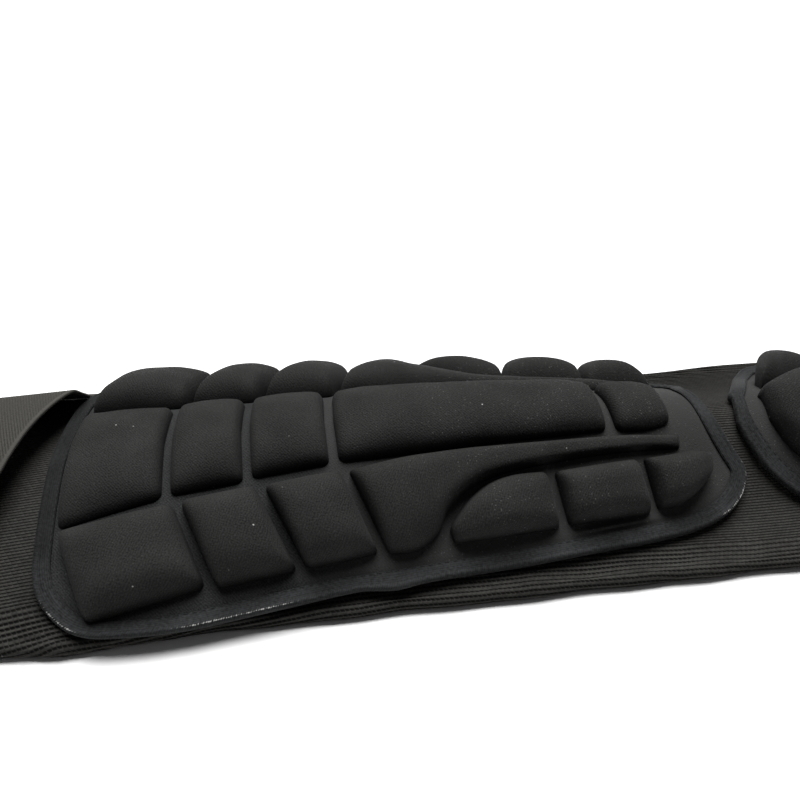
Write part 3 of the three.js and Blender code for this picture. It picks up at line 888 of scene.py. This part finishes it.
def outline(table):
    """The outline of a base, once round and evenly spaced, with the way out from it at each point."""
    first, last = table[0], table[-1]
    s = np.linspace(-1, 1, ACROSS_END + 1)[1:-1]
    near = [(at, -reach) for at, reach, bow, other in table]
    far = [(at, other) for at, reach, bow, other in table[::-1]]
    toe = [(last[0] - last[2] * (1 - k * k), last[1 if k < 0 else 3] * k) for k in s]
    calf = [(first[0] - first[2] * (1 - k * k), -first[3 if k < 0 else 1] * k) for k in s]
    spots = np.array(near + toe + far + calf)
    spots = np.concatenate([spots, spots[:1]])
    run = run_over(spots)
    count = int(run[-1] / EDGE_STEP)
    stops = np.linspace(0, run[-1], count + 1)[:-1]
    loop = np.stack([np.interp(stops, run, spots[:, k]) for k in range(2)], axis=1)
    for _ in range(SMOOTHINGS):
        loop = (np.roll(loop, 1, axis=0) + 2 * loop + np.roll(loop, -1, axis=0)) / 4
    heading = np.roll(loop, -2, axis=0) - np.roll(loop, 2, axis=0)
    heading /= np.linalg.norm(heading, axis=1)[:, None]
    return loop, np.stack([heading[:, 1], -heading[:, 0]], axis=1), stops


def near_side(across):
    """1 on the near side of the guard, easing to 0 at the centre line."""
    return np.clip(-across / 40.0, 0, 1)


def edge_spots(table):
    """The loop, the way out, how a panel's edge waves, and where it is worn and carries painted glints, at
    each point round it.
    """
    loop, away, stops = outline(table)
    at, across = loop[:, 0], loop[:, 1]
    near = near_side(across)
    swell = 0.9 * hump(at, 114, 7) - 0.6 * hump(at, 101, 6)
    lift = near * (0.9 * hump(at, 92, 34) + 0.25 * np.sin(at / 9.0) + 0.25)
    lift = lift + (1 - near) * 0.2 * (1 + np.sin(at / 13.0 + 1.0))
    # Where the near edge is worn: the hem paints whitish wear and glints of light there.
    wear_and_glint = near * (
        1.0 * hump(at, 2, 6)
        + 0.8 * np.exp(-(((at - 58) / 24) ** 4))
        + 1.0 * hump(at, 248, 9)
    )
    narrow_end = ramp(at, 205, 25) * (at < 270)
    tucked = 2.4 * ramp(across, -15, 30) * narrow_end
    return loop, away, stops, near * swell - tucked, np.maximum(lift, 0), np.clip(wear_and_glint + 0.18, 0, 1)


def edge_points(loop, away, swell, lift, out, high, lean):
    """Points of a panel's edge at a distance out from the base and a height over the floor."""
    share = np.clip(out / EDGE_REACH, 0, 1)
    spot = loop + away * (out + swell * share)[:, None]
    return on_panel(lean, spot[:, 0], spot[:, 1], high + lift * share**2)


def sewn_edge(name, table, lean):
    """The tape sewn round a panel, rolled at its outer edge."""
    loop, away, stops, swell, lift, wear_and_glint = edge_spots(table)
    section = np.array(EDGE_SECTION + EDGE_SECTION[:1])
    layers = [edge_points(loop, away, swell, lift, out, high, lean) for out, high in section]
    points = np.stack(layers, axis=1)
    points = np.concatenate([points, points[:1]])
    round_section = run_over(section)
    length = np.append(stops, stops[-1] + stops[1])
    grid = np.meshgrid(length, round_section, indexing="ij")
    pattern = np.stack(grid, axis=2)
    outer = np.exp(-(((section[:, 0] - 4.9) / 0.55) ** 2)) * (section[:, 1] > -0.5)
    # The rolled edge's worn places, where the hem paints whitish wear and glints.
    marks = {"wear_and_glint": np.append(wear_and_glint, wear_and_glint[0])[:, None] * outer[None, :]}
    piece = ring_piece(f"{name}_tape", points, pattern, finish_for("hem"), marks)
    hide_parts(name)
    return piece


SEAM_ROWS = ((-0.15, 0.62), (3.55, 0.66))  # distance out from the base and height of each row of stitches
THREAD_SUNK = 0.42  # half height of a stitch, as a share of the thread


def seam_stitches(name, table, lean):
    """The stitches that hold a panel's edge down: one row on the seam, one beside the rolled edge."""
    sizes = bpy.context.scene.guard_sizes
    loop, away, stops, swell, lift, wear_and_glint = edge_spots(table)
    bm = bmesh.new()
    for out, high in SEAM_ROWS:
        line = edge_points(loop, away, swell, lift, out, high, lean)
        above = edge_points(loop, away, swell, lift, out, high + 1.0, lean)
        run = run_over(line)
        pitch = sizes.stitch_length + sizes.stitch_gap
        for k in range(int(run[-1] / pitch)):
            ends = [k * pitch, k * pitch + sizes.stitch_length]
            a, b = (Vector([np.interp(e, run, line[:, c]) for c in range(3)]) for e in ends)
            up = Vector([np.interp(ends[0], run, above[:, c] - line[:, c]) for c in range(3)])
            lay_stitch(bm, a, b, up, sizes.thread)
    piece = finished(bm, name, finish_for("thread"))
    return piece


def lay_stitch(bm, a, b, up, thread):
    """One stitch: a thin rounded thread from a to b, half sunk in the cloth."""
    x = (b - a).normalized()
    y = up.cross(x).normalized()
    turn = Matrix((x, y, x.cross(y))).transposed().to_4x4()
    size = Matrix.Diagonal(((b - a).length / 2, thread / 2, thread * THREAD_SUNK, 1.0))
    place = Matrix.Translation((a + b) / 2) @ turn @ size
    bmesh.ops.create_uvsphere(bm, u_segments=8, v_segments=5, radius=1.0, matrix=place)


SLEEVE_STEP = 2.4
RIB_ZONE = 0.8  # share of the arch beyond which the ribs need closer columns
RIB_STEPS, TOP_STEPS, FOLD_STEPS, FLAT_STEPS = 30, 62, 16, 18
END_BAND = 9.0  # width of the plain band at each end of the sleeve


def sleeve_places():
    """Where the columns of the sleeve's loop lie, as shares of its arch, a fold and half its underside."""
    ribbed = np.linspace(RIB_ZONE, 1, RIB_STEPS)[:-1]
    smooth = np.linspace(-RIB_ZONE, RIB_ZONE, TOP_STEPS)[1:-1]
    top = np.concatenate([-ribbed[::-1], smooth, ribbed])
    return top, np.linspace(0, 1, FOLD_STEPS + 1), np.linspace(0, 1, FLAT_STEPS + 1)[:-1]


def fold_shift(station, side):
    """How far a fold lies out from the frame's: the far one draws in behind the ankle."""
    if side > 0:
        return -5.8 * hump(station, 248, 36)
    return 1.6 * ramp(station, 220, 80)


def sleeve_loop(at, depth, bulge):
    """The sleeve's loops at many stations, from the middle of its underside and back to it."""
    top, fold, flat = sleeve_places()
    y, z, way = arch(at)
    half, reach = y[:, -1:], way[:, -1:]
    seat = BASE + GAP + depth
    ceiling = FOLD_HEIGHT - seat
    radius, middle = (ceiling - depth) / 2, (ceiling + depth) / 2
    station = at[:, None]
    x = (station - MIDDLE) * MM

    def turned(side, share):
        angle = math.pi * (0.5 - share)[None, :]
        swell = bulge(station, side * (reach + radius * math.pi * share)) * np.sin(math.pi * share)
        out = half + fold_shift(station, side) + (radius + swell) * np.cos(angle)
        up = middle + (radius + swell) * np.sin(angle)
        return np.stack([x + 0 * out, side * out * MM, np.maximum(up, depth) * MM], axis=2)

    def under(side, share):
        out = (half + fold_shift(station, side)) * share
        return np.stack([x + 0 * out, side * out * MM, 0 * out + depth * MM], axis=2)

    over = over_floor(station + 0 * top, reach * top, -seat + bulge(station, reach * top))
    outward = ramp(np.abs(top), 0.55, 0.45)
    shift = np.where(top > 0, fold_shift(station, 1), -fold_shift(station, -1))
    over[:, :, 1] += shift * eased(outward) * MM
    parts = [under(-1, flat), turned(-1, fold[::-1]), over, turned(1, fold), under(1, flat[::-1])]
    return np.concatenate(parts, axis=1)


CALF_SPREAD = 0.16  # rows are this much further apart at the calf end
# Distance from the centre line, and the rows of the knit up to there.
ROW_STOPS = np.array([(0.0, 0.0), (58.0, 50.0), (62.0, 52.0), (95.0, 69.0), (150.0, 97.0)])


def knit_rows(station, way):
    """Rows of the knit counted from the centre line: they spread towards the folds and the calf end."""
    spread = np.clip((120 - station) / 215, 0, 1)
    rows = np.interp(np.abs(way), ROW_STOPS[:, 0], ROW_STOPS[:, 1])
    return np.sign(way) * rows * (1 - CALF_SPREAD * eased(spread))


def knit_ribs(station, way):
    """Height of the knit's ribs along the folds and of its soft swells, with a plain band at each end."""
    sizes = bpy.context.scene.guard_sizes
    rows = knit_rows(station, way)
    depth = sizes.rib_depth / MM * ramp(np.abs(way), 56, 9)
    ribs = -depth * (0.5 + 0.5 * np.cos(2 * math.pi * rows))
    from_end = np.minimum(station - CALF_END, TOE_END - station)
    plain = np.clip((from_end - END_BAND) / 1.5, 0, 1)
    low = ramp(-way, 60, 8)
    sag = 1.9 * hump(station, 2, 22) - 0.5 * hump(station, 75, 30)
    wave = 0.35 * np.sin(station / 11.0) + 0.25 * np.sin(station / 5.3 + 1.0)
    bunched = ramp(way, 38, 30)
    bunch = 4.4 * hump(station, -34, 15) * np.sin(math.pi * bunched) ** 2
    return ribs * plain + 0.35 * (1 - plain) + low * (sag + wave) + bunch


def sleeve_openness(station, way):
    """How open the knit is: most beside the panels' edges, towards the folds and the calf end."""
    low = ramp(np.abs(way), 50, 14)
    calf = np.clip((10 - station) / 50, 0, 1)
    # The far side is made more open so that it comes out darker, as part of the painted shade there.
    far = ramp(way, -15, 20)
    return np.clip(0.2 + 0.7 * low + (0.45 * calf + 0.45 * far * (1 - calf)) * (1 - low), 0, 1)


class GUARD_OT_sleeve(bpy.types.Operator):
    """Knits the sleeve that the panels are sewn on"""

    bl_idname = "guard.sleeve"
    bl_label = "Sleeve"

    def execute(self, context):
        rows = int((TOE_END - CALF_END) / SLEEVE_STEP)
        at = np.linspace(CALF_END, TOE_END, rows + 1)
        outer = sleeve_loop(at, 0.0, knit_ribs)
        inner = sleeve_loop(at, KNIT, lambda station, way: 0 * way)
        way = steps_along(outer, 1)
        pattern = np.stack([at[:, None] + 0 * way, knit_rows(at[:, None], way)], axis=2)
        marks = {"open": sleeve_openness(at[:, None], way)}
        finish = finish_for("knit")
        piece = cloth_piece("sleeve_knit", outer, inner, pattern, finish, tube=True, marks=marks)
        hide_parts("sleeve")
        return {"FINISHED"}


class GUARD_OT_bases(bpy.types.Operator):
    """Lays the foam floor of the shin panel and of the instep panel"""

    bl_idname = "guard.bases"
    bl_label = "Foam bases"

    def execute(self, context):
        foam_base("shin_base", SHIN_BASE, shin_lean, flange_crease)
        foam_base("instep_base", INSTEP_BASE, instep_lean)
        return {"FINISHED"}


class GUARD_OT_edges(bpy.types.Operator):
    """Sews the tape round both panels"""

    bl_idname = "guard.edges"
    bl_label = "Sewn edges"

    def execute(self, context):
        for name, table, lean in (("shin", SHIN_BASE, shin_lean), ("instep", INSTEP_BASE, instep_lean)):
            sewn_edge(f"{name}_edge", table, lean)
            seam_stitches(f"{name}_stitches", table, lean)
        return {"FINISHED"}


class GUARD_OT_centre_pads(bpy.types.Operator):
    """Moulds the row of pads down the middle of each panel"""

    bl_idname = "guard.centre_pads"
    bl_label = "Centre pads"

    def execute(self, context):
        pad_row("shin_pad_centre", [(full_ribs(ribs), c) for ribs, c in CENTRE_PADS], 1, shin_lean)
        pad_row("instep_pad_centre", [(full_ribs(ribs), c) for ribs, c in INSTEP_CENTRE_PADS], 1, instep_lean)
        return {"FINISHED"}


class GUARD_OT_side_pads(bpy.types.Operator):
    """Moulds the pads along the near and the far side of each panel"""

    bl_idname = "guard.side_pads"
    bl_label = "Side pads"

    def execute(self, context):
        pad_row("shin_pad_near", SIDE_PADS, -1, shin_lean)
        pad_row("instep_pad_near", [INSTEP_NEAR_FIRST, *INSTEP_SIDE_PADS], -1, instep_lean)
        pad_row("shin_pad_far", FAR_SIDE_PADS, 1, shin_lean)
        pad_row("instep_pad_far", [INSTEP_FAR_FIRST, *INSTEP_FAR_SIDE_PADS], 1, instep_lean)
        return {"FINISHED"}


STRAP_ROWS, STRAP_COLUMNS = 190, 185
RIB_PITCH = 1.05  # millimetres between the strap's ribs
RIB_RUN = (0.93, 0.36)  # ribs are counted along this direction of station and distance across
SELVEDGE = 1.4  # width of the plain edge on both sides of the strap


class GUARD_OT_strap(bpy.types.Operator):
    """Weaves the wide elastic strap over the calf end"""

    bl_idname = "guard.strap"
    bl_label = "Calf strap"

    def execute(self, context):
        sizes = context.scene.guard_sizes
        reach = STRAP[-1, 0]
        across = np.linspace(-reach, reach, STRAP_ROWS)[:, None]
        edge = np.linspace(-1, 1, STRAP_COLUMNS)[None, :]
        middle = between(STRAP, 1, across)
        under = between(STRAP, 2, across) - BASE
        at = middle + edge * STRAP_HALF_WIDTH
        from_edge = (1 - np.abs(edge)) * STRAP_HALF_WIDTH
        woven = np.clip((from_edge - SELVEDGE) / 0.5, 0, 1)
        phase = (RIB_RUN[0] * at + RIB_RUN[1] * across) / RIB_PITCH
        rib = 0.5 + 0.5 * np.cos(2 * math.pi * phase)
        rounded = 0.35 * np.clip(1 - from_edge / 0.6, 0, 1) ** 2
        height = sizes.webbing_depth / MM * (rib - 1) * woven - rounded
        thick = sizes.strap_thickness / MM
        top = over_floor(at, across + 0 * at, under + thick + height)
        low = over_floor(at, across + 0 * at, under - height * 0.6)
        pattern = np.stack([at, across + 0 * at], axis=2)
        marks = {"rib": rib * woven + 0.8 * (1 - woven)}
        piece = cloth_piece("calf_strap_webbing", top, low, pattern, finish_for("webbing"), marks=marks)
        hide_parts("calf_strap")
        return {"FINISHED"}


SKY = 0.09
SOFTBOX_FROM, SOFTBOX_SPREAD, SOFTBOX_POWER = (0.06, 0.42, 0.905), 44.0, 6.1
LENS, SENSOR = 34.65, 36.0
CAMERA_AT = (-0.0545, -0.2315, 0.2326)
CAMERA_TILT, CAMERA_TURN = 51.09, -6.22


class GUARD_OT_stage(bpy.types.Operator):
    """Sets the pale floor, the soft light and the camera"""

    bl_idname = "guard.stage"
    bl_label = "Stage"

    def execute(self, context):
        scene = context.scene
        bm = bmesh.new()
        bmesh.ops.create_grid(bm, x_segments=4, y_segments=4, size=4.0)
        mesh = bpy.data.meshes.new("floor")
        bm.to_mesh(mesh)
        bm.free()
        mesh.materials.append(floor_finish(scene.guard_colours))
        floor = bpy.data.objects.new("floor", mesh)
        scene.collection.objects.link(floor)
        world = bpy.data.worlds.new("studio")
        world.use_nodes = True
        world.node_tree.nodes["Background"].inputs["Color"].default_value = (1.0, 1.0, 1.0, 1.0)
        world.node_tree.nodes["Background"].inputs["Strength"].default_value = SKY
        scene.world = world
        self.light(scene, "softbox", SOFTBOX_FROM, SOFTBOX_SPREAD, SOFTBOX_POWER)
        data = bpy.data.cameras.new("camera")
        data.lens = LENS
        data.sensor_width = SENSOR
        data.clip_start = 0.01
        camera = bpy.data.objects.new("camera", data)
        camera.location = CAMERA_AT
        camera.rotation_euler = (math.radians(CAMERA_TILT), 0.0, math.radians(CAMERA_TURN))
        scene.collection.objects.link(camera)
        scene.camera = camera
        scene.view_settings.view_transform = "Standard"
        return {"FINISHED"}

    def light(self, scene, name, place, spread, power):
        """A soft light far off, that shines from a place towards the guard."""
        data = bpy.data.lights.new(name, "SUN")
        data.angle = math.radians(spread)
        data.energy = power
        lamp = bpy.data.objects.new(name, data)
        lamp.location = place
        lamp.rotation_euler = (-Vector(place)).to_track_quat("-Z", "Y").to_euler()
        scene.collection.objects.link(lamp)


OPERATORS = (
    GUARD_OT_stage,
    GUARD_OT_sleeve,
    GUARD_OT_bases,
    GUARD_OT_edges,
    GUARD_OT_centre_pads,
    GUARD_OT_side_pads,
    GUARD_OT_strap,
)


class GUARD_PT_panel(bpy.types.Panel):
    """Lists what builds the guard, and its sizes and colours"""

    bl_idname = "GUARD_PT_panel"
    bl_label = "Shin and instep guard"
    bl_space_type = "VIEW_3D"
    bl_region_type = "UI"
    bl_category = "Guard"

    def draw(self, context):
        for operator in OPERATORS:
            self.layout.operator(operator.bl_idname)
        for group in (context.scene.guard_sizes, context.scene.guard_colours):
            for name in group.__annotations__:
                self.layout.prop(group, name)


CLASSES = (GuardSizes, GuardColours, *OPERATORS, GUARD_PT_panel)


def register():
    for cls in CLASSES:
        bpy.utils.register_class(cls)
    bpy.types.Scene.guard_sizes = PointerProperty(type=GuardSizes)
    bpy.types.Scene.guard_colours = PointerProperty(type=GuardColours)


def unregister():
    del bpy.types.Scene.guard_colours
    del bpy.types.Scene.guard_sizes
    for cls in reversed(CLASSES):
        bpy.utils.unregister_class(cls)


def main():
    """Builds the whole guard."""
    register()
    bpy.ops.guard.stage()
    bpy.ops.guard.sleeve()
    bpy.ops.guard.bases()
    bpy.ops.guard.edges()
    bpy.ops.guard.centre_pads()
    bpy.ops.guard.side_pads()
    bpy.ops.guard.strap()
    bpy.context.view_layer.update()


if __name__ == "__main__":
    main()
